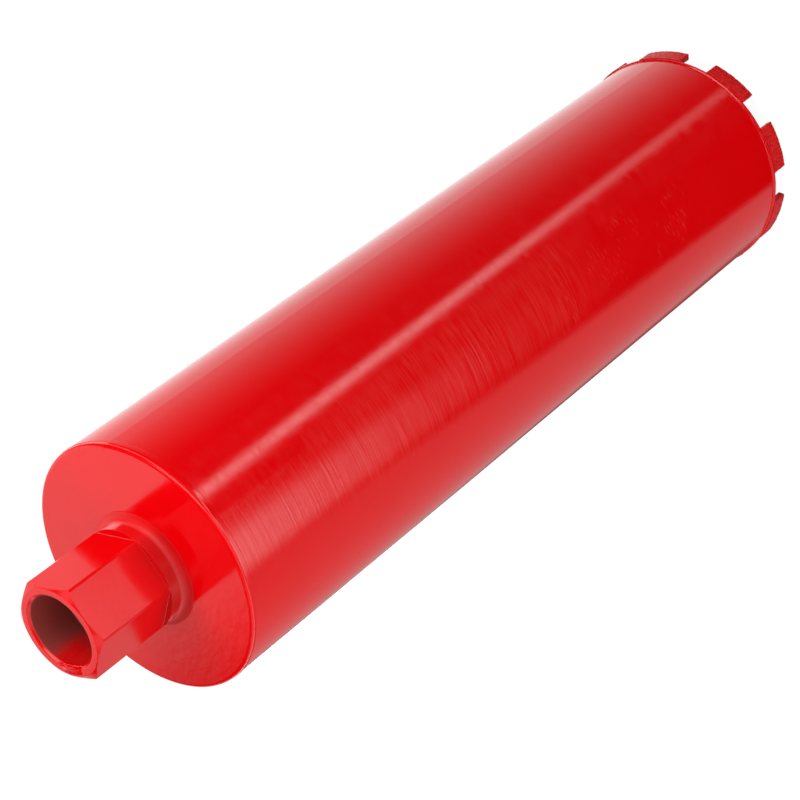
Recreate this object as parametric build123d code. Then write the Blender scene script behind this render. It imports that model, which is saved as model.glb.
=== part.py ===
from build123d import *

import math
import os

# A wet core bit for a core drill, standing on its crown. Millimetres.
# +Z runs along the axis, from the crown up to the hub. The origin is on the axis, in the
# plane of the cutting faces. +X passes through the middle of segment 01 and of one flat.

# ---- barrel tube -------------------------------------------------------------------------
TUBE_DIAMETER = 115.0
TUBE_WALL = 2.0
LAND_PROUD = 0.7  # the skimmed tube keeps a raised land beside the crown
LAND_LENGTH = 1.6
LAND_BEVEL = 0.5
TUBE_AND_PLATE = 415.5  # from the crown end of the tube to the outer face of the plate

# ---- crown -------------------------------------------------------------------------------
SEGMENT_COUNT = 9
SEGMENT_LENGTH = 24.0  # along the arc, at half thickness
SEGMENT_THICKNESS = 3.5
SEGMENT_HEIGHT = 10.0
SEGMENT_PROUD = 0.3  # beyond the land
SEGMENT_EDGE = 0.4

# ---- back plate --------------------------------------------------------------------------
PLATE_FLANGE = 4.0  # what lies on the end of the tube
PLATE_SPIGOT = 6.0  # what sits inside the tube
PLATE_SPIGOT_CLEARANCE = 0.05
PLATE_RIM_RADIUS = 2.0

# ---- hub ---------------------------------------------------------------------------------
HUB_HEIGHT = 49.5  # above the plate
HUB_BAR_DIAMETER = 46.6
HUB_ACROSS_FLATS = 41.0
HUB_NECK = 9.0  # round stretch between plate and flats
HUB_FACE_DIAMETER = 40.4
HUB_CHAMFER_ANGLE = 30.0  # from the plane of the front face
WELD_TOE_RADIUS = 3.2
WELD_TOE_LIP = 0.3
HUB_SPIGOT_DIAMETER = 40.0
HUB_SPIGOT_CLEARANCE = 0.05

# ---- bore of the hub ---------------------------------------------------------------------
PILOT_DIAMETER = 32.6  # smooth entry that clears the male thread
PILOT_DEPTH = 20.0
MOUTH_CHAMFER = 1.1
THREAD_MAJOR_DIAMETER = 31.75  # 1 1/4"-7 UNC; the wall is drawn at the root of the thread
THREAD_LENGTH = 28.0
WATER_DIAMETER = 22.0

# ---- sizes that follow -------------------------------------------------------------------
TUBE_RADIUS = TUBE_DIAMETER / 2
TUBE_BORE_RADIUS = TUBE_RADIUS - TUBE_WALL
LAND_RADIUS = TUBE_RADIUS + LAND_PROUD
SEGMENT_OUTER_RADIUS = LAND_RADIUS + SEGMENT_PROUD
SEGMENT_INNER_RADIUS = SEGMENT_OUTER_RADIUS - SEGMENT_THICKNESS
CROWN_TOP = SEGMENT_HEIGHT
PLATE_FACE = CROWN_TOP + TUBE_AND_PLATE
TUBE_TOP = PLATE_FACE - PLATE_FLANGE
PLATE_INSIDE = TUBE_TOP - PLATE_SPIGOT
HUB_FACE = PLATE_FACE + HUB_HEIGHT
HUB_RADIUS = HUB_BAR_DIAMETER / 2
HUB_SEAT_RADIUS = HUB_SPIGOT_DIAMETER / 2


def turn(*lines):
    """A turned piece: a closed outline of radius and height, stood up and revolved."""
    return revolve(Plane.XZ * make_face(Wire(lines)), Axis.Z)


def at(radius, height):
    """A point of a turning outline."""
    return Vector(radius, height)


def straight_runs(*points):
    """The straight lines that join the points of an outline."""
    return Polyline(*points).edges()


def barrel_tube():
    """The tube, with its land and the bevel that runs up to it."""
    land_top = CROWN_TOP + LAND_LENGTH
    return turn(
        *straight_runs(
            at(TUBE_BORE_RADIUS, CROWN_TOP),
            at(LAND_RADIUS, CROWN_TOP),
            at(LAND_RADIUS, land_top - LAND_BEVEL),
            at(TUBE_RADIUS, land_top),
            at(TUBE_RADIUS, TUBE_TOP),
            at(TUBE_BORE_RADIUS, TUBE_TOP),
            at(TUBE_BORE_RADIUS, CROWN_TOP),
        )
    )


def back_plate():
    """The closing disc: a flange on the tube's end, a spigot inside it and a hole for the hub."""
    spigot_radius = TUBE_BORE_RADIUS - PLATE_SPIGOT_CLEARANCE
    rim = RadiusArc(
        at(TUBE_RADIUS, PLATE_FACE - PLATE_RIM_RADIUS),
        at(TUBE_RADIUS - PLATE_RIM_RADIUS, PLATE_FACE),
        -PLATE_RIM_RADIUS,
    )
    return turn(
        *straight_runs(
            at(TUBE_RADIUS - PLATE_RIM_RADIUS, PLATE_FACE),
            at(HUB_SEAT_RADIUS, PLATE_FACE),
            at(HUB_SEAT_RADIUS, PLATE_INSIDE),
            at(spigot_radius, PLATE_INSIDE),
            at(spigot_radius, TUBE_TOP),
            at(TUBE_RADIUS, TUBE_TOP),
            at(TUBE_RADIUS, PLATE_FACE - PLATE_RIM_RADIUS),
        ),
        rim,
    )


def hub_outside():
    """The hub before boring: spigot, weld toe, round bar and the chamfer at its front face."""
    face_radius = HUB_FACE_DIAMETER / 2
    chamfer_depth = (HUB_RADIUS - face_radius) * math.tan(math.radians(HUB_CHAMFER_ANGLE))
    spigot_radius = HUB_SEAT_RADIUS - HUB_SPIGOT_CLEARANCE
    toe_top = PLATE_FACE + WELD_TOE_LIP + WELD_TOE_RADIUS
    toe_foot = at(HUB_RADIUS + WELD_TOE_RADIUS, PLATE_FACE + WELD_TOE_LIP)
    toe = RadiusArc(toe_foot, at(HUB_RADIUS, toe_top), WELD_TOE_RADIUS)
    return turn(
        *straight_runs(
            at(HUB_RADIUS, toe_top),
            at(HUB_RADIUS, HUB_FACE - chamfer_depth),
            at(face_radius, HUB_FACE),
            at(0, HUB_FACE),
            at(0, PLATE_INSIDE),
            at(spigot_radius, PLATE_INSIDE),
            at(spigot_radius, PLATE_FACE),
            at(toe_foot.X, PLATE_FACE),
            toe_foot,
        ),
        toe,
    )


def flats_waste():
    """What milling the hexagon takes off the bar, from the front face down to the neck."""
    length = HUB_HEIGHT - HUB_NECK
    waste = Cylinder(HUB_BAR_DIAMETER, length, align=(Align.CENTER, Align.CENTER, Align.MIN))
    hexagon = extrude(RegularPolygon(HUB_ACROSS_FLATS / 2, 6, major_radius=False, rotation=30), length)
    return Pos(0, 0, PLATE_FACE + HUB_NECK) * (waste - hexagon)


def hub_bore():
    """The stepped bore: mouth chamfer, smooth entry, threaded stretch and water hole."""
    pilot_radius = PILOT_DIAMETER / 2
    thread_radius = THREAD_MAJOR_DIAMETER / 2
    water_radius = WATER_DIAMETER / 2
    pilot_end = HUB_FACE - PILOT_DEPTH
    thread_end = pilot_end - THREAD_LENGTH
    return turn(
        *straight_runs(
            at(0, HUB_FACE),
            at(pilot_radius + MOUTH_CHAMFER, HUB_FACE),
            at(pilot_radius, HUB_FACE - MOUTH_CHAMFER),
            at(pilot_radius, pilot_end),
            at(thread_radius, pilot_end - (pilot_radius - thread_radius)),
            at(thread_radius, thread_end),
            at(water_radius, thread_end - (thread_radius - water_radius) / 2),
            at(water_radius, PLATE_INSIDE),
            at(0, PLATE_INSIDE),
            at(0, HUB_FACE),
        )
    )


def hub():
    """The connector, turned from one bar, with a hexagon for the wrench."""
    return hub_outside() - flats_waste() - hub_bore()


def segment():
    """One curved cutting block, centred on +X, its foot on the tube's end."""
    middle_radius = (SEGMENT_OUTER_RADIUS + SEGMENT_INNER_RADIUS) / 2
    sweep = math.degrees(SEGMENT_LENGTH / middle_radius)
    outer = CenterArc((0, 0), SEGMENT_OUTER_RADIUS, -sweep / 2, sweep)
    inner = CenterArc((0, 0), SEGMENT_INNER_RADIUS, -sweep / 2, sweep)
    ends = [Line(inner @ 0, outer @ 0), Line(inner @ 1, outer @ 1)]
    block = extrude(make_face(Wire([outer, inner, *ends])), SEGMENT_HEIGHT)
    above_foot = block.edges().filter_by_position(Axis.Z, 0, SEGMENT_HEIGHT / 2)
    return fillet(above_foot, SEGMENT_EDGE)


def crown():
    """The segments, evenly spread round the tube's end."""
    block = segment()
    pitch = 360 / SEGMENT_COUNT
    return {f"segment_{n + 1:02d}": Rot(0, 0, n * pitch) * block for n in range(SEGMENT_COUNT)}


pieces = {
    "barrel_tube": barrel_tube(),
    "back_plate": back_plate(),
    "hub": hub(),
    **crown(),
}
os.makedirs("parts", exist_ok=True)
for name, piece in pieces.items():
    export_step(piece, f"parts/{name}.step")
    print(name, round(piece.volume), "mm3")
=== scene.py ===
# %% [markdown]
# # A wet core bit, standing on its crown
# A core bit is a long steel tube with a ring of cutting segments at one end and a closing plate
# with a threaded hub at the other. It is turned, welded and then sprayed red all over, crown and
# all. The CAD model gives every solid its true size, so this lesson adds what CAD leaves out:
# the light, the lacquer, the grit of the segments, the thread and the small runs of paint.

import math

import bmesh
import bpy
from mathutils import Matrix, Vector, noise


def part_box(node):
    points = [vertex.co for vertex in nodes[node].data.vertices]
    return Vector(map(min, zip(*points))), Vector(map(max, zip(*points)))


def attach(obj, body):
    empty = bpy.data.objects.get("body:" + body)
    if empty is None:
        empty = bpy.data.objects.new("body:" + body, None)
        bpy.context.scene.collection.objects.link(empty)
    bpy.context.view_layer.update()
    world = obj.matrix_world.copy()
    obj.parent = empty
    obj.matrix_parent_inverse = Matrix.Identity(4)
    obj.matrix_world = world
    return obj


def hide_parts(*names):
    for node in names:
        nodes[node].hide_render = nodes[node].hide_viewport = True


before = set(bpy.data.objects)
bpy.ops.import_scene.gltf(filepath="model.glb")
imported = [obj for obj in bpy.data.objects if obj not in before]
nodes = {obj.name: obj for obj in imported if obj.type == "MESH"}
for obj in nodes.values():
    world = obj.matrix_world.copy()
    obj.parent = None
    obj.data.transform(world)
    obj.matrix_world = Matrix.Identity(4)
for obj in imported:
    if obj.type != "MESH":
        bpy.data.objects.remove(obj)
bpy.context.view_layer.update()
MM = 0.001
FULL_TURN = 2 * math.pi
print("CAD nodes:", ", ".join(sorted(nodes)))

# %% Heights and radii, read from the frame
segment_names = sorted(n for n in nodes if n.startswith("segment_"))
crown_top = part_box("segment_01")[1].z
plate_inside, plate_face = (corner.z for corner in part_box("back_plate"))
hub_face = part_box("hub")[1].z
tube_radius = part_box("back_plate")[1].x
crown_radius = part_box("segment_01")[1].x
print("tube radius", round(tube_radius / MM, 2), "mm, plate face at", round(plate_face / MM, 1), "mm")

# %% [markdown]
# ## The camera
# The bit is seen from above its hub, with a long lens, and the picture is turned so that the
# tube runs across it from corner to corner. Aiming at a point on the axis and then rolling the
# camera about its own line of sight keeps the three choices apart: where, how far and how turned.

# %% Camera
AIM = Vector((-0.00772, -0.00523, 0.26157))
DISTANCE = 1.0504
LOOK_AZIMUTH = math.radians(124.117)
LOOK_DOWN = math.radians(41.05)
ROLL = math.radians(-127.649)
LENS = 104.878


def aim_camera():
    """A camera that looks at AIM from DISTANCE, rolled about its line of sight."""
    level = Vector((math.cos(LOOK_AZIMUTH), math.sin(LOOK_AZIMUTH), 0))
    forward = level * math.cos(LOOK_DOWN) - Vector((0, 0, math.sin(LOOK_DOWN)))
    flat_right = forward.cross(Vector((0, 0, 1))).normalized()
    flat_up = flat_right.cross(forward)
    right = flat_right * math.cos(ROLL) + flat_up * math.sin(ROLL)
    up = right.cross(forward)
    camera = bpy.data.objects.new("camera", bpy.data.cameras.new("camera"))
    bpy.context.scene.collection.objects.link(camera)
    turned = Matrix((right, up, -forward)).transposed().to_4x4()
    camera.matrix_world = Matrix.Translation(AIM - forward * DISTANCE) @ turned
    camera.data.lens = LENS
    camera.data.clip_start, camera.data.clip_end = 0.01, 100
    return camera


bpy.context.scene.camera = aim_camera()
bpy.context.scene.view_settings.view_transform = "Standard"
print("camera at", tuple(round(x, 3) for x in bpy.context.scene.camera.location))

# %% [markdown]
# ## Small helpers for shaders
# A finish is a small network of nodes. One class keeps the making of a node, its settings and
# its links on one line, so that each finish below reads like a recipe.


# %% Shader helper
class Recipe:
    """Nodes of one material or world, made by short calls."""

    def __init__(self, tree):
        self.tree = tree
        tree.nodes.clear()

    def put(self, socket, value):
        """Links another node's output to the socket, or sets the socket's own value."""
        if isinstance(value, bpy.types.NodeSocket):
            self.tree.links.new(value, socket)
        else:
            socket.default_value = value

    def node(self, kind, inputs=None, out=0, **settings):
        """Makes a node, fills its inputs by name or number, and returns one of its outputs."""
        made = self.tree.nodes.new(kind)
        for name, value in settings.items():
            setattr(made, name, value)
        for name, value in (inputs or {}).items():
            self.put(made.inputs[name], value)
        return made.outputs[out] if made.outputs else None

    def math(self, operation, *values, clamp=False):
        """One Math node."""
        return self.node("ShaderNodeMath", dict(enumerate(values)), operation=operation, use_clamp=clamp)

    def ease(self, value, start, end, low=0.0, high=1.0):
        """A soft step: low before start, high after end."""
        ends = {"Value": value, "From Min": start, "From Max": end, "To Min": low, "To Max": high}
        return self.node("ShaderNodeMapRange", ends, interpolation_type="SMOOTHSTEP")

    def mix(self, share, first, second):
        """One colour fading into another."""
        made = self.tree.nodes.new("ShaderNodeMix")
        made.data_type = "RGBA"
        for number, value in ((0, share), (6, first), (7, second)):
            self.put(made.inputs[number], value)
        return made.outputs[2]

    def blend(self, share, first, second):
        """One number fading into another."""
        return self.node("ShaderNodeMix", {0: share, 2: first, 3: second})


def material(name):
    """A new material and the recipe that fills it."""
    made = bpy.data.materials.new(name)
    made.use_nodes = True
    return made, Recipe(made.node_tree)


# %% [markdown]
# ## The room
# A glossy lacquer shows what stands round it, so the room matters as much as the paint. Three
# things would do for light: many lamps, a picture of a studio, or a plain dome. Here a plain
# pale dome lights the paint evenly, three soft lamps that aim at the plate give the hub's end a
# lit side and a shaded one, and a few soft panels are drawn on the dome for reflections alone.
# A panel is a stretch of compass directions, so on an upright tube it shows as a band that runs
# the whole length. Faces that look up reflect the upper room, so high panels take over from the
# low ones above the horizon. A thin arch of light, the brow, draws a line along each bevel.

# %% Panels of the room
# A panel: middle, half width, soft edge before and after, all in compass degrees; slant, in
# compass degrees for each degree of height; strength; heights where it fades in and out.
DOME_LIGHT = 0.80
FAR_LAMP = dict(
    middle=58, half=7, before=9, after=9, strength=3.2, fade_in=(-20, -12), fade_out=(8, 14)
)
LOW_PANELS = {
    "window": dict(middle=102, half=12, before=106, after=14, slant=0.9, strength=1.15),
    "side wall": dict(middle=180, half=52.3, before=20, after=1, slant=2.2, strength=0.43),
    "strip": dict(middle=-30, half=1.0, before=6, after=6, slant=-0.7, strength=0.65),
    "upper strip": dict(
        middle=-30, half=1.0, before=6, after=6, slant=-0.7, strength=4.0, fade_in=(-51, -43)
    ),
    "lamp": dict(
        middle=-92, half=6, before=22, after=22, strength=3.5, fade_in=(-42, -33), fade_out=(-10, 0)
    ),
    "far lamp": FAR_LAMP,
    "front lamp": dict(
        middle=-67, half=5, before=5, after=5, strength=2.0, fade_in=(-34.4, -33.4), fade_out=(-10, 0)
    ),
}
HIGH_PANELS = {
    "high window": dict(middle=104, half=20, before=10, after=4, strength=0.95, fade_out=(37, 42)),
    "high wall": dict(middle=-150, half=28, before=12, after=12, strength=0.8, fade_out=(46, 54)),
    "near skylight": dict(
        middle=48, half=12, before=8, after=8, strength=1.1, fade_in=(58, 62), fade_out=(72, 76)
    ),
    "far skylight": dict(
        middle=-167, half=12, before=8, after=8, strength=0.9, fade_in=(52, 56), fade_out=(66, 70)
    ),
    "far lamp": FAR_LAMP,
    "top lamp": dict(
        middle=-13, half=26, before=10, after=10, strength=3.6, fade_in=(43, 47), fade_out=(58, 62)
    ),
}
# The gap is written as a panel, but it takes light away from the low ones.
GAP = dict(middle=137, half=5, before=9, after=9, slant=-1.5, strength=0.85, fade_out=(-34, -28))
SLANT_PIVOT = -45  # the height at which a slanted panel stands at its own middle
FLOOR_EDGE = (-62, -56)  # the low panels end here, so nothing bright lies under the bit
HIGH_ROOM = (0, 20)  # over these heights the high panels take over
# The brow: its middle and top, and how far it sags, in degrees for each square degree to a side.
BROW_MIDDLE, BROW_TOP, BROW_SAG = -55.5, 37.5, 0.0024
BROW_HALF, BROW_SOFT, BROW_STRENGTH = 4.0, 3.0, 2.8


def panel_glow(
    world, azimuth, elevation, middle, half, before, after, strength, slant=0, fade_in=None, fade_out=None
):
    """The light of one panel towards a compass direction and a height."""
    deg = math.radians
    lean = world.math("MULTIPLY_ADD", elevation, -slant, deg(SLANT_PIVOT * slant - middle))
    offset = world.math("WRAP", world.math("ADD", azimuth, lean), math.pi, -math.pi)
    glow = world.ease(offset, -deg(half + before), -deg(half), 0.0, strength)
    glow = world.math("MULTIPLY", glow, world.ease(offset, deg(half), deg(half + after), 1.0, 0.0))
    if fade_in:
        rise = world.ease(elevation, deg(fade_in[0]), deg(fade_in[1]))
        glow = world.math("MULTIPLY", glow, rise)
    if fade_out:
        fall = world.ease(elevation, deg(fade_out[0]), deg(fade_out[1]), 1.0, 0.0)
        glow = world.math("MULTIPLY", glow, fall)
    return glow


def brightest(world, azimuth, elevation, panels):
    """Where panels overlap, the brighter one shows."""
    glow = 0.0
    for panel in panels.values():
        glow = world.math("MAXIMUM", glow, panel_glow(world, azimuth, elevation, **panel))
    return glow


def brow_glow(world, azimuth, elevation):
    """A thin arch of light that every bevel of 45 degrees shows as one bright line."""
    deg = math.radians
    offset = world.math("WRAP", world.math("SUBTRACT", azimuth, deg(BROW_MIDDLE)), math.pi, -math.pi)
    sag = world.math("MULTIPLY", world.math("MULTIPLY", offset, offset), BROW_SAG * math.degrees(1))
    above = world.math("SUBTRACT", world.math("ADD", elevation, sag), deg(BROW_TOP))
    reach = world.math("ABSOLUTE", above)
    return world.ease(reach, deg(BROW_HALF), deg(BROW_HALF + BROW_SOFT), BROW_STRENGTH, 0.0)


def build_world():
    """White to the camera, a plain dome to the paint, and panels to its gloss."""
    made = bpy.data.worlds.new("room")
    made.use_nodes = True
    made.cycles.sampling_method = "NONE"
    bpy.context.scene.world = made
    world = Recipe(made.node_tree)
    direction = world.node("ShaderNodeTexCoord", out="Generated")
    split = world.node("ShaderNodeSeparateXYZ", {0: direction}).node
    azimuth = world.math("ARCTAN2", split.outputs["Y"], split.outputs["X"])
    elevation = world.math("ARCSINE", split.outputs["Z"])
    low = brightest(world, azimuth, elevation, LOW_PANELS)
    gap = world.math("SUBTRACT", 1.0, panel_glow(world, azimuth, elevation, **GAP))
    low = world.math("MULTIPLY", low, gap)
    low = world.math("MULTIPLY", low, world.ease(elevation, *map(math.radians, FLOOR_EDGE)))
    high = brightest(world, azimuth, elevation, HIGH_PANELS)
    raised = world.ease(elevation, *map(math.radians, HIGH_ROOM))
    glow = world.blend(raised, low, high)
    glow = world.math("MAXIMUM", glow, brow_glow(world, azimuth, elevation))
    paths = world.node("ShaderNodeLightPath").node
    shown = world.blend(paths.outputs["Is Glossy Ray"], DOME_LIGHT, glow)
    shown = world.blend(paths.outputs["Is Camera Ray"], shown, 1.0)
    light = world.node("ShaderNodeBackground", {"Color": (1, 1, 1, 1), "Strength": shown})
    world.node("ShaderNodeOutputWorld", {"Surface": light})
    return made


build_world()
print("panels:", ", ".join([*LOW_PANELS, *HIGH_PANELS]))

# %% Lamps
# Compass direction and height in degrees, distance from the plate and size in metres, watts.
LAMPS = {
    "hub_lamp": dict(azimuth=5, height=38, distance=0.32, size=0.2, power=0.52),
    "near_lamp": dict(azimuth=-100, height=20, distance=0.35, size=0.3, power=0.21),
    "side_lamp": dict(azimuth=-125, height=15, distance=0.9, size=0.6, power=0.8),
}


def soft_lamp(name, azimuth, height, distance, size, power):
    """A square soft lamp that faces the plate. It is left out of reflections."""
    azimuth, height = math.radians(azimuth), math.radians(height)
    lamp = bpy.data.lights.new(name, "AREA")
    lamp.size = size
    lamp.energy = power
    made = bpy.data.objects.new(name, lamp)
    bpy.context.scene.collection.objects.link(made)
    level = math.cos(height)
    back = Vector((math.cos(azimuth) * level, math.sin(azimuth) * level, math.sin(height)))
    made.location = Vector((0, 0, plate_face)) + back * distance
    made.rotation_mode = "QUATERNION"
    made.rotation_quaternion = back.to_track_quat("Z", "Y")
    made.visible_glossy = False
    made.visible_camera = False
    return made


for name, choices in LAMPS.items():
    soft_lamp(name, **choices)
print("lamps:", ", ".join(LAMPS))

# %% [markdown]
# ## The floor
# A plain pale floor under the crown. The camera sees most of it as clean white, and the part of
# its shading that is kept is the soft shadow where the bit stands.

# %% Floor
FLOOR_RADIUS = 12.0
FLOOR_PAINT = (0.86, 0.86, 0.86, 1)
FLOOR_WHITE = 0.85  # how much of the floor's look is clean white
FLOOR_GLOW = 1.1


def build_floor():
    """A wide disc that the lacquer doesn't reflect."""
    made, floor = material("floor")
    matt = floor.node("ShaderNodeBsdfDiffuse", {"Color": FLOOR_PAINT})
    white = floor.node("ShaderNodeEmission", {"Color": (1, 1, 1, 1), "Strength": FLOOR_GLOW})
    seen = floor.node("ShaderNodeLightPath").node.outputs["Is Camera Ray"]
    share = floor.math("MULTIPLY", seen, FLOOR_WHITE)
    both = floor.node("ShaderNodeMixShader", {0: share, 1: matt, 2: white})
    floor.node("ShaderNodeOutputMaterial", {"Surface": both})
    bm = bmesh.new()
    bmesh.ops.create_circle(bm, cap_ends=True, segments=96, radius=FLOOR_RADIUS)
    mesh = bpy.data.meshes.new("floor")
    bm.to_mesh(mesh)
    bm.free()
    mesh.materials.append(made)
    disc = bpy.data.objects.new("floor", mesh)
    bpy.context.scene.collection.objects.link(disc)
    disc.visible_glossy = False
    return disc


build_floor()

# %% [markdown]
# ## Red lacquer on turned steel
# One coat of red lacquer over turned steel: the colour is deep and even, the gloss is good, and
# the lathe's fine rings still show through it, because the coat is thin. The same red covers
# every piece, so one function makes all the finishes and takes what differs: the gloss, the
# pattern of the steel below and where the spray didn't reach. A shader can only place a pattern
# by position, so the first helper gives each point its radius, compass direction and height.

# %% Colours
RED = (0.76, 0.0, 0.002, 1)
DARK_RED = (0.62, 0.0, 0.001, 1)  # the darker clouds of the coat
# painted shade: the darker red laid low on the hub, on one side of the neck
NECK_SHADE_RED = (0.55, 0.0, 0.001, 1)
WORN_RED = (0.86, 0.06, 0.05, 1)
SPECK_AND_EDGE_SHADE_RED = (0.22, 0.0, 0.001, 1)  # darker specks on a segment, and painted shade along its cutting edge
BARE_STEEL = (0.16, 0.135, 0.125, 1)
BORE_STEEL = (0.34, 0.056, 0.047, 1)  # steel under a thin red mist


# %% Where a point lies
class Spot:
    """Shader values for the place of a point: position, radius, compass direction and height."""

    def __init__(self, paint):
        self.place = paint.node("ShaderNodeTexCoord", out="Object")
        x, y, self.height = paint.node("ShaderNodeSeparateXYZ", {0: self.place}).node.outputs
        flat = paint.node("ShaderNodeVectorMath", {0: self.place, 1: (1, 1, 0)}, operation="MULTIPLY")
        self.radius = paint.node("ShaderNodeVectorMath", {0: flat}, out="Value", operation="LENGTH")
        self.azimuth = paint.math("ARCTAN2", y, x)


def grain(paint, place, scale, detail=2.0):
    """Noise with its own number of grains for each metre along x, y and z."""
    stretched = paint.node("ShaderNodeMapping", {"Vector": place, "Scale": scale})
    return paint.node("ShaderNodeTexNoise", {"Vector": stretched, "Scale": 1.0, "Detail": detail})


def band(paint, value, start, end, soft):
    """One between start and end, zero outside, with soft edges."""
    rise = paint.ease(value, start - soft, start)
    return paint.math("MULTIPLY", rise, paint.ease(value, end, end + soft, 1.0, 0.0))


# %% Lacquer
RELIEF_UNIT = 0.01 * MM  # every relief below is in hundredths of a millimetre
EDGE_ROUNDING = 0.25 * MM  # what the thickness of the coat rounds off
CLOUDINESS = 0.12  # how much of the cloudy colour shows
GLOSS_SPREAD = 0.08  # the share by which the roughness varies, up and down
DULLNESS = 0.12  # what a dull pattern adds to the roughness where it is 1
STEEL_ROUGHNESS, STEEL_METAL = 0.5, 0.3


def coat(name, relief, roughness, shine=0.5, brushed=0.0, bare_colour=BARE_STEEL, **patterns):
    """Red lacquer over a relief.

    Patterns are functions of a spot: uncoated steel (on the segments, darker specks and painted
    shade at the cutting edge), a worn coat, painted shade, dull places and the rounding of the edges.
    """
    made, paint = material(name)
    spot = Spot(paint)
    colour = paint.mix(paint.ease(grain(paint, spot.place, (60, 60, 60)), 0.3, 0.7), RED, DARK_RED)
    colour = paint.mix(CLOUDINESS, RED, colour)
    smoothest, roughest = roughness * (1 - GLOSS_SPREAD), roughness * (1 + GLOSS_SPREAD)
    rough = paint.ease(grain(paint, spot.place, (90, 90, 90)), 0.3, 0.7, smoothest, roughest)
    metal = 0.0
    # Painted shade: a darker red stands in for the shade on one side of the hub's neck.
    if "thick" in patterns:
        colour = paint.mix(patterns["thick"](paint, spot), colour, NECK_SHADE_RED)
    if "worn" in patterns:
        colour = paint.mix(patterns["worn"](paint, spot), colour, WORN_RED)
    if "dull" in patterns:
        rough = paint.math("MULTIPLY_ADD", patterns["dull"](paint, spot), DULLNESS, rough)
    # Uncoated steel; on the segments this mask is darker specks and painted shade along the cutting edge.
    if "bare" in patterns:
        bare_and_shade_share = patterns["bare"](paint, spot)
        colour = paint.mix(bare_and_shade_share, colour, bare_colour)
        rough = paint.blend(bare_and_shade_share, rough, STEEL_ROUGHNESS)
        metal = paint.math("MULTIPLY", bare_and_shade_share, STEEL_METAL)
    round_off = patterns["rounding"](paint, spot) if "rounding" in patterns else EDGE_ROUNDING
    rounded = paint.node("ShaderNodeBevel", {"Radius": round_off}, samples=8)
    bump = {"Strength": 1.0, "Distance": RELIEF_UNIT, "Height": relief(paint, spot), "Normal": rounded}
    sockets = {
        "Base Color": colour,
        "Roughness": rough,
        "Metallic": metal,
        "IOR": 1.5,
        "Specular IOR Level": shine,
        "Normal": paint.node("ShaderNodeBump", bump),
    }
    if brushed:
        sockets["Anisotropic"] = brushed
        sockets["Anisotropic Rotation"] = 0.25
        sockets["Tangent"] = paint.node("ShaderNodeTangent", direction_type="RADIAL", axis="Z")
    surface = paint.node("ShaderNodeBsdfPrincipled", sockets)
    paint.node("ShaderNodeOutputMaterial", {"Surface": surface})
    return made


# %% [markdown]
# The barrel was skimmed on a lathe and rubbed down before spraying, and that shows in four
# patterns. Rings run right round the tube, close together and uneven in depth. Low on it is a
# patch of short scratches that lean a little from the rings, and above it a longer field of
# fainter hairlines. Beside them a strip of dull lines frays the edges of a narrow reflection.
# All are noise that is squeezed hard along one direction, which is how a machined surface looks
# from close by.

# %% Barrel finish
# A patch: where it starts and ends, and how far its edge fades.
SCRATCH_LEAN = math.radians(9)
SCRATCH_PATCH = (math.radians(-86), math.radians(-62), math.radians(10))
SCRATCH_HEIGHTS = (95 * MM, 190 * MM, 30 * MM)
SCRATCH_STRENGTH = 0.6
HAIRLINE_PATCH = (math.radians(-82), math.radians(-56), math.radians(9))
HAIRLINE_HEIGHTS = (195 * MM, 330 * MM, 45 * MM)
HAIRLINE_STRENGTH = 0.3
DULL_PATCH = (math.radians(-55), math.radians(-36), math.radians(8))
COARSE_RINGS, FINE_RINGS, BARREL_PEEL = 3.5, 1.6, 1.6
INNER_WALL = (55.8 * MM, 56.4 * MM)  # bare within the first radius, painted beyond the second
MOUTH_SPRAY = (20 * MM, 90 * MM)  # the spray inside the tube thins out over these heights


def barrel_relief(paint, spot):
    """Coarse and fine rings of the lathe, under the faint orange peel of the spray."""
    fine = grain(paint, spot.place, (10, 10, 3600), 1.0)
    coarse = grain(paint, spot.place, (5, 5, 1100), 1.0)
    peel = grain(paint, spot.place, (260, 260, 260))
    rings = paint.math("MULTIPLY_ADD", coarse, COARSE_RINGS, paint.math("MULTIPLY", fine, FINE_RINGS))
    return paint.math("MULTIPLY_ADD", peel, BARREL_PEEL, rings)


def barrel_scratches(paint, spot):
    """Leaning scratches in one patch of the tube and level hairlines in another."""
    along = paint.math("MULTIPLY", spot.azimuth, tube_radius)
    lean, level = math.sin(SCRATCH_LEAN), math.cos(SCRATCH_LEAN)
    across = paint.math("MULTIPLY_ADD", along, -lean, paint.math("MULTIPLY", spot.height, level))
    lengthwise = paint.math("MULTIPLY_ADD", spot.height, lean, paint.math("MULTIPLY", along, level))
    turned = paint.node("ShaderNodeCombineXYZ", {0: lengthwise, 1: across})
    clumps = paint.ease(grain(paint, spot.place, (70, 70, 70)), 0.45, 0.6)
    clumps = paint.math("MULTIPLY", clumps, band(paint, spot.azimuth, *SCRATCH_PATCH))
    clumps = paint.math("MULTIPLY", clumps, band(paint, spot.height, *SCRATCH_HEIGHTS))
    lines = paint.ease(grain(paint, turned, (170, 1500, 1), 1.0), 0.6, 0.7, 0.0, SCRATCH_STRENGTH)
    field = band(paint, spot.azimuth, *HAIRLINE_PATCH)
    field = paint.math("MULTIPLY", field, band(paint, spot.height, *HAIRLINE_HEIGHTS))
    hairs = paint.ease(grain(paint, spot.place, (60, 60, 1500)), 0.36, 0.7, 0.0, HAIRLINE_STRENGTH)
    return paint.math("MAXIMUM", paint.math("MULTIPLY", lines, clumps), paint.math("MULTIPLY", hairs, field))


def barrel_dullness(paint, spot):
    """Short dull lines round the tube, which fray the edges of a narrow reflection."""
    lines = paint.ease(grain(paint, spot.place, (110, 110, 1500)), 0.42, 0.64)
    return paint.math("MULTIPLY", lines, band(paint, spot.azimuth, *DULL_PATCH))


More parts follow.
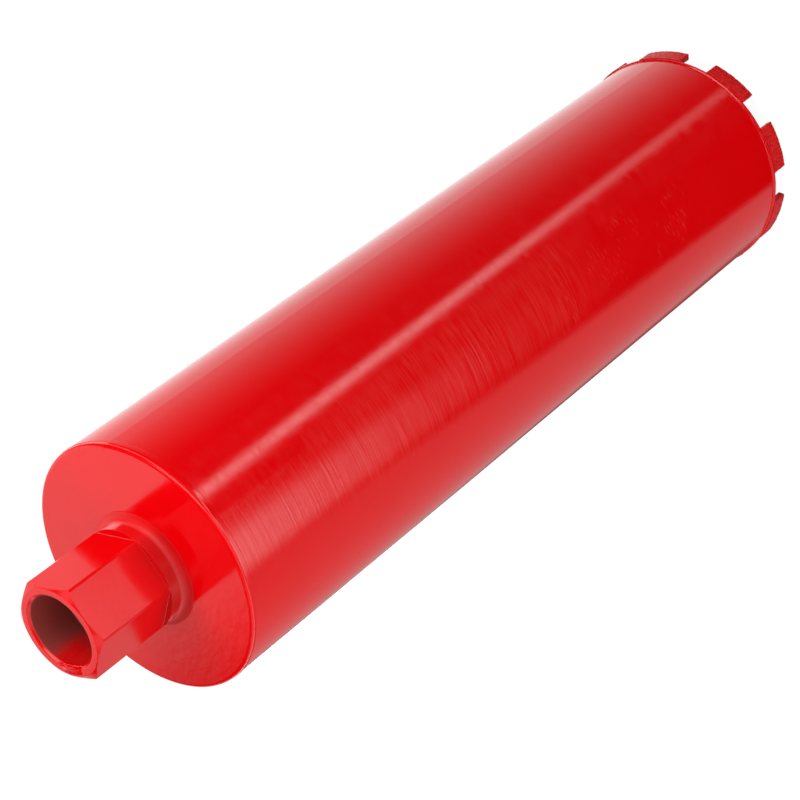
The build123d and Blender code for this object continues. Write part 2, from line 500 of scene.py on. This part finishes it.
def inside_barrel(paint, spot):
    """Bare steel inside the tube, where the spray reached only the first few centimetres."""
    inner = paint.ease(spot.radius, *INNER_WALL, 1.0, 0.0)
    return paint.math("MULTIPLY", inner, paint.ease(spot.height, *MOUTH_SPRAY))


barrel_lacquer = coat(
    "barrel_lacquer", barrel_relief, 0.10, brushed=0.6,
    bare=inside_barrel, worn=barrel_scratches, dull=barrel_dullness,
)

# %% [markdown]
# The plate was faced on the lathe, so its rings run round the hub, and the hub's flats were
# milled. The weld round the foot of the neck was dressed to an even slope. The coat is duller
# there, and on one side of the neck its red is darkened as a painted shade. Beside the lip of
# the bore some paint ran together on the front face and made a shallow pool. Both the slope and
# the pool are relief in the material, because the solid hub keeps its plain neck and face. The
# bore is masked with a plug while the bit is sprayed: the steel inside stays bare, except on one
# side, where some spray got past it.

# %% Plate and hub finish
PLATE_RINGS, PLATE_PEEL = 0.6, 3.5
HUB_MILLING, HUB_PEEL = 1.5, 3.5
POOL_HEIGHT, POOL_RADII = 60, (16.0 * MM, 19.6 * MM)
POOL_REACH = (math.radians(170), math.radians(194), math.radians(7))
NECK_SLOPE, NECK_HEIGHTS = 460, (0.4 * MM, 9.6 * MM)  # heights are above the plate
WELD_DULLNESS, WELD_HEIGHTS = 1.8, (3 * MM, 5 * MM)
# Painted shade near the neck: its share, its heights above the plate, and the side it lies on.
NECK_SHADE_SHARE, NECK_SHADE_HEIGHTS = 0.9, (6 * MM, 22 * MM)
NECK_SHADE_REACH = (math.radians(-48), math.radians(-22))
LIP_ROUNDING, LIP_RADII = 0.5 * MM, (17.6 * MM, 18.8 * MM)
BORE_RADIUS, BORE_EDGE = 16.6 * MM, 0.2 * MM
BORE_SPRAY = (math.radians(164), math.radians(250), math.radians(30))
SPRAY_RAGGEDNESS = math.radians(15)
SPRAY_DEPTHS, SPRAY_SHARES = (26 * MM, 10 * MM), (0.25, 0.9)  # depths are below the front face


def plate_relief(paint, spot):
    """The facing cut's rings round the hub, under orange peel."""
    turned = paint.node("ShaderNodeCombineXYZ", {0: spot.radius, 1: spot.azimuth})
    rings = grain(paint, turned, (2200, 0.6, 1), 1.0)
    peel = grain(paint, spot.place, (260, 260, 260))
    return paint.math("MULTIPLY_ADD", peel, PLATE_PEEL, paint.math("MULTIPLY", rings, PLATE_RINGS))


def full_turn(paint, spot):
    """The compass direction counted from 0 to a full turn, so that it doesn't jump at the back."""
    return paint.math("MODULO", paint.math("ADD", spot.azimuth, FULL_TURN), FULL_TURN)


def pool_height(paint, spot):
    """The paint that gathered on the face beside the lip, highest at the lip itself."""
    outwards = paint.ease(spot.radius, *POOL_RADII, POOL_HEIGHT, 0.0)
    return paint.math("MULTIPLY", outwards, band(paint, full_turn(paint, spot), *POOL_REACH))


def neck_height(paint, spot):
    """The dressed weld: it climbs the neck as an even slope, thickest at the plate."""
    low, high = (plate_face + height for height in NECK_HEIGHTS)
    ends = {"Value": spot.height, 1: low, 2: high, 3: NECK_SLOPE, 4: 0.0}
    return paint.node("ShaderNodeMapRange", ends)


def weld_dullness(paint, spot):
    """The coat is duller over the weld at the foot of the neck."""
    low, high = (plate_face + height for height in WELD_HEIGHTS)
    return paint.ease(spot.height, low, high, WELD_DULLNESS, 0.0)


def hub_skin(paint, spot):
    """The cutter's marks along the flats, under orange peel."""
    peel = grain(paint, spot.place, (420, 420, 420))
    milling = grain(paint, spot.place, (900, 900, 60), 1.0)
    return paint.math("MULTIPLY_ADD", peel, HUB_PEEL, paint.math("MULTIPLY", milling, HUB_MILLING))


def hub_relief(paint, spot):
    """The skin of the hub with the pool and the weld's slope on it."""
    added = paint.math("ADD", pool_height(paint, spot), neck_height(paint, spot))
    return paint.math("ADD", hub_skin(paint, spot), added)


def below_plate(paint, spot):
    """The inner face of the plate, which no spray reached."""
    return paint.ease(spot.height, plate_inside + 0.2 * MM, plate_inside + 0.6 * MM, 1.0, 0.0)


def in_bore(paint, spot):
    """The bore's steel, less the stretch that caught some spray, which thins out with depth."""
    inner = paint.ease(spot.radius, BORE_RADIUS - BORE_EDGE, BORE_RADIUS, 1.0, 0.0)
    turned = full_turn(paint, spot)
    noise_here = grain(paint, spot.place, (120, 120, 120))
    ragged = paint.math("MULTIPLY_ADD", noise_here, SPRAY_RAGGEDNESS, turned)
    sprayed = band(paint, ragged, *BORE_SPRAY)
    deep, shallow = (hub_face - depth for depth in SPRAY_DEPTHS)
    sprayed = paint.math("MULTIPLY", sprayed, paint.ease(spot.height, deep, shallow, *SPRAY_SHARES))
    return paint.math("MULTIPLY", inner, paint.math("SUBTRACT", 1.0, sprayed))


def thick_at_neck(paint, spot):
    """Painted shade: the red is darker low on the hub, round the neck, on one side."""
    bottom, top = (plate_face + height for height in NECK_SHADE_HEIGHTS)
    low = paint.ease(spot.height, bottom, top, NECK_SHADE_SHARE, 0.0)
    return paint.math("MULTIPLY", low, paint.ease(spot.azimuth, *NECK_SHADE_REACH, 1.0, 0.0))


def lip_rounding(paint, spot):
    """The lip of the bore is broken with a stone, so it is rounder than the other edges."""
    return paint.ease(spot.radius, *LIP_RADII, LIP_ROUNDING, EDGE_ROUNDING)


plate_lacquer = coat("plate_lacquer", plate_relief, 0.13, bare=below_plate)
# The hub's colour carries a painted shade on one side of the neck.
hub_lacquer = coat(
    "hub_lacquer", hub_relief, 0.17, bare_colour=BORE_STEEL,
    bare=in_bore, rounding=lip_rounding, thick=thick_at_neck, dull=weld_dullness,
)
# The plain segments get the hub's red too, though the gritty ones below stand in for them.
for name, node in nodes.items():
    finish = {"barrel_tube": barrel_lacquer, "back_plate": plate_lacquer}.get(name, hub_lacquer)
    node.material_slots[0].material = finish
print("lacquered:", ", ".join(sorted(set(nodes) - set(segment_names))))

# %% [markdown]
# ## The cutting segments
# A segment is a block of sintered metal with diamond grit all through it. It comes out of the
# mould with a coarse skin, and the red paint follows every grain. Bump alone would leave the
# outline smooth, so the grain is in the mesh: a bevelled block is sliced into small quads, bent
# round the axis, and then each corner of the net is pushed in by a little noise. Pushing only
# inwards keeps the block inside its true size.

# %% One block
SEGMENT_LENGTH, SEGMENT_THICKNESS, SEGMENT_EDGE = 24 * MM, 3.5 * MM, 0.4 * MM
CUT_SPACING, CUT_TOLERANCE = 0.42 * MM, 0.01 * MM
GRAIN_SIZE, GRAIN_DEPTH = 1.3 * MM, 0.22 * MM
HELD_HEIGHT = 0.8 * MM  # the grain fades out over this height below the tube's end
MERGE_DISTANCE = 0.001 * MM


def finished(name, bm, finish):
    """Turns a bmesh into a smooth-shaded piece of the bit, riding on its body."""
    bmesh.ops.remove_doubles(bm, verts=bm.verts, dist=MERGE_DISTANCE)
    bmesh.ops.recalc_face_normals(bm, faces=bm.faces)
    for face in bm.faces:
        face.smooth = True
    mesh = bpy.data.meshes.new(name)
    bm.to_mesh(mesh)
    bm.free()
    mesh.materials.append(finish)
    piece = bpy.data.objects.new(name, mesh)
    bpy.context.scene.collection.objects.link(piece)
    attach(piece, "root")
    return piece


def sliced_block():
    """A straight block: x through its thickness, y along it and z up, cut into small quads."""
    size = Vector((SEGMENT_THICKNESS, SEGMENT_LENGTH, crown_top))
    bm = bmesh.new()
    bmesh.ops.create_cube(bm, size=1.0)
    bmesh.ops.scale(bm, vec=size, verts=bm.verts)
    bmesh.ops.translate(bm, vec=(0, 0, size.z / 2), verts=bm.verts)
    open_edges = [e for e in bm.edges if min(v.co.z for v in e.verts) < size.z / 2]
    bmesh.ops.bevel(
        bm, geom=open_edges, offset=SEGMENT_EDGE, segments=2, profile=0.5, affect="EDGES", material=-1
    )
    for axis in range(3):
        normal = Vector([float(axis == n) for n in range(3)])
        low = min(v.co[axis] for v in bm.verts)
        count = round(size[axis] / CUT_SPACING)
        for step in range(1, count):
            cut = normal * (low + size[axis] * step / count)
            everything = bm.verts[:] + bm.edges[:] + bm.faces[:]
            bmesh.ops.bisect_plane(
                bm, geom=everything, dist=CUT_TOLERANCE, plane_co=cut, plane_no=normal
            )
    return bm


# %% Nine gritty segments
def grit_push(point, seed):
    """How far a grain lies below the skin, from 0 to 1, at one point of one segment."""
    moved = point / GRAIN_SIZE + Vector((seed * 7.3, 0, 0))
    bumps = 0.4 * noise.noise(moved) + 1.1 * noise.noise(moved * 1.9)
    return max(0.0, min(1.0, 0.5 + bumps))


def gritty_segment(name, block, turn, seed, finish):
    """One block bent round the axis at its turn, with its own grain pushed in."""
    bm = block.copy()
    middle = crown_radius - SEGMENT_THICKNESS / 2
    for vert in bm.verts:
        angle = turn + vert.co.y / middle
        radius = middle + vert.co.x
        vert.co = (radius * math.cos(angle), radius * math.sin(angle), vert.co.z)
    bm.normal_update()
    pushes = []
    for vert in bm.verts:
        held = min(1.0, (crown_top - vert.co.z) / HELD_HEIGHT)
        pushes.append(-vert.normal * GRAIN_DEPTH * held * grit_push(vert.co, seed))
    for vert, push in zip(bm.verts, pushes):
        vert.co += push
    piece = finished(f"{name}_grit", bm, finish)
    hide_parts(name)
    return piece


def grit_relief(paint, spot):
    """Grains finer than the mesh can show."""
    return paint.math("MULTIPLY", grain(paint, spot.place, (1900, 1900, 1900), 3.0), 14.0)


def grit_wear(paint, spot):
    """Paler specks, where the coat is thin over the tops of the grains."""
    return paint.ease(grain(paint, spot.place, (1500, 1500, 1500)), 0.56, 0.7, 0.0, 0.8)


def grit_specks_and_edge_shade(paint, spot):
    """Random darker specks, and a painted shade along the cutting edge at the segment's foot."""
    dark_specks = paint.ease(grain(paint, spot.place, (1100, 1100, 1100)), 0.34, 0.5, 0.7, 0.0)
    # painted shade: a darker rim along the cutting edge
    foot = paint.ease(spot.height, 0.2 * MM, 0.9 * MM, 0.85, 0.0)
    return paint.math("MAXIMUM", dark_specks, foot)


# The segments' darker specks are random; their dark cutting edge is painted shade.
grit_lacquer = coat(
    "grit_lacquer", grit_relief, 0.34, shine=0.2, bare_colour=SPECK_AND_EDGE_SHADE_RED, bare=grit_specks_and_edge_shade, worn=grit_wear
)
plain_block = sliced_block()
pitch = FULL_TURN / len(segment_names)
for number, name in enumerate(segment_names):
    piece = gritty_segment(name, plain_block, number * pitch, number, grit_lacquer)
print(len(segment_names), "segments,", len(piece.data.vertices), "points each")
plain_block.free()

# %% [markdown]
# ## The thread in the hub
# Deep in the bore a right-hand thread takes the drill's spindle. The CAD wall is drawn at the
# root of the thread, so what is missing is the ridge that stands on it. A screw modifier would
# do, but spin does it in one call: a small outline goes round the axis and climbs as it turns.
# At both ends the ridge runs out into the wall, as it does behind a countersink.

# %% Thread
THREAD_ROOT, THREAD_CREST = 15.875 * MM, 13.9 * MM
THREAD_PITCH = 25.4 * MM / 7
THREAD_START, THREAD_END = hub_face - 48 * MM, hub_face - 20.4 * MM
THREAD_RUNOUT = 2.0 * MM
STEPS_A_TURN = 72


def hub_thread(finish):
    """The ridge of the thread, spun up the bore, with both its ends run out into the wall."""
    foot, crest = THREAD_PITCH * 7 / 16, THREAD_PITCH / 8
    turns = (THREAD_END - THREAD_START - 2 * foot) / THREAD_PITCH
    steps = round(turns * STEPS_A_TURN)
    bm = bmesh.new()
    outline = [(THREAD_ROOT, -foot), (THREAD_CREST, -crest), (THREAD_CREST, crest), (THREAD_ROOT, foot)]
    corners = [bm.verts.new((radius, 0, THREAD_START + foot + height)) for radius, height in outline]
    end = bm.faces.new(corners)
    climb = Vector((0, 0, THREAD_PITCH / STEPS_A_TURN))
    bmesh.ops.spin(
        bm, geom=corners + list(end.edges) + [end], cent=(0, 0, 0), axis=(0, 0, 1),
        dvec=climb, angle=turns * FULL_TURN, steps=steps,
    )
    for vert in bm.verts:
        to_end = min(vert.co.z - THREAD_START, THREAD_END - vert.co.z) / THREAD_RUNOUT
        radius = vert.co.xy.length
        standing = THREAD_ROOT - (THREAD_ROOT - radius) * max(0.0, min(1.0, to_end))
        vert.co.x *= standing / radius
        vert.co.y *= standing / radius
    piece = finished("hub_thread", bm, finish)
    print("thread:", round(turns, 2), "turns,", len(piece.data.edges), "edges")
    return piece


hub_thread(hub_lacquer)

# %% [markdown]
# ## A run of paint on the lip
# While the coat was wet some of it gathered at the lowest part of the bore's lip and dried there
# as a thick drop. It is a small ball, pulled long, bent round the lip and let into the steel, so
# that only its top shows and its rim meets the hub without a step.

# %% Paint run
RUN_MIDDLE, RUN_REACH = math.radians(181), 6.6 * MM  # compass direction, and half its length
RUN_RADIUS, RUN_WIDTH = 16.9 * MM, 1.3 * MM
RUN_DEPTH, RUN_BELOW = 1.2 * MM, 0.05 * MM
RUN_LUMPS = 0.14  # how unevenly wide it is
RUN_TAPER, RUN_DRIFT = 0.22, 0.5 * MM  # one end is thinner and lies nearer to the axis


def paint_run(finish):
    """A ball, pulled long and bent round the lip, with its top just below the front face."""
    bm = bmesh.new()
    bmesh.ops.create_uvsphere(bm, u_segments=48, v_segments=24, radius=1.0)
    for vert in bm.verts:
        across, along, up = vert.co
        lump = 1 + RUN_LUMPS * noise.noise(Vector((along * 2.4, 5.0, 0)))
        swell = 1 - RUN_TAPER * along
        radius = RUN_RADIUS + across * RUN_WIDTH * lump * swell - RUN_DRIFT * along
        turn = RUN_MIDDLE + along * RUN_REACH / RUN_RADIUS
        height = hub_face - RUN_BELOW + (up - 1) * RUN_DEPTH
        vert.co = (radius * math.cos(turn), radius * math.sin(turn), height)
    return finished("lip_paint_run", bm, finish)


run_lacquer = coat("run_lacquer", hub_skin, 0.08)
paint_run(run_lacquer)
